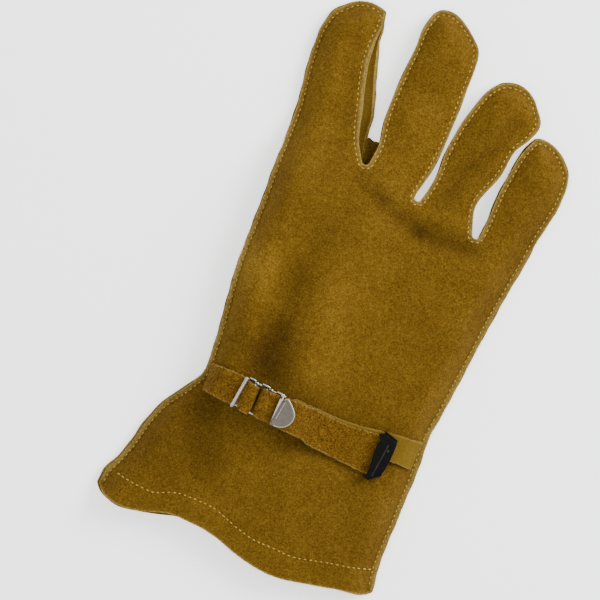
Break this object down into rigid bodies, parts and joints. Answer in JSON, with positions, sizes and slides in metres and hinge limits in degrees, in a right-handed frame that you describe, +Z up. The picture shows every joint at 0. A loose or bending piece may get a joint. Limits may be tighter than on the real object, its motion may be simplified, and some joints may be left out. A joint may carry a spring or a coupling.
{
  "type": "firefighter glove",
  "caption": "Right-hand suede leather work glove lying back up, with fingers, thumb folded under the palm, flared cuff and a wrist strap with a steel lever buckle.",
  "frame": {"origin": "middle of the footprint, on the surface that the glove lies on", "axes": "+Y towards the fingertips, +Z up from the surface, the back of the hand facing +Z, +X towards the little finger"},
  "size_m": [0.16, 0.293, 0.0379],
  "materials": {
    "suede": "napped suede, golden brown",
    "suede_edge": "napped suede with pale cut edges, olive tan",
    "strap_suede": "suede above, smooth pale grain below",
    "steel": "plated, lightly worn",
    "plastic": "black, satin"
  },
  "bodies": {
    "glove": {"back_panel": "suede", "palm_panel": "suede", "finger_front": "suede", "fourchette_index_middle": "suede_edge", "fourchette_middle_ring": "suede_edge", "fourchette_ring_little": "suede_edge", "thumb_front": "suede", "thumb_back": "suede", "strap_anchor": "strap_suede", "strap": "strap_suede", "strap_keeper": "plastic", "buckle_frame": "steel"},
    "lever": {"buckle_lever": "steel"}
  },
  "joints": [
    {"name": "lever_hinge", "type": "hinge", "parent": "glove", "child": "lever", "pos_m": [-0.01116, -0.06907, 0.03501], "axis": [0, -1, 0], "range_deg": [0, 90]}
  ]
}
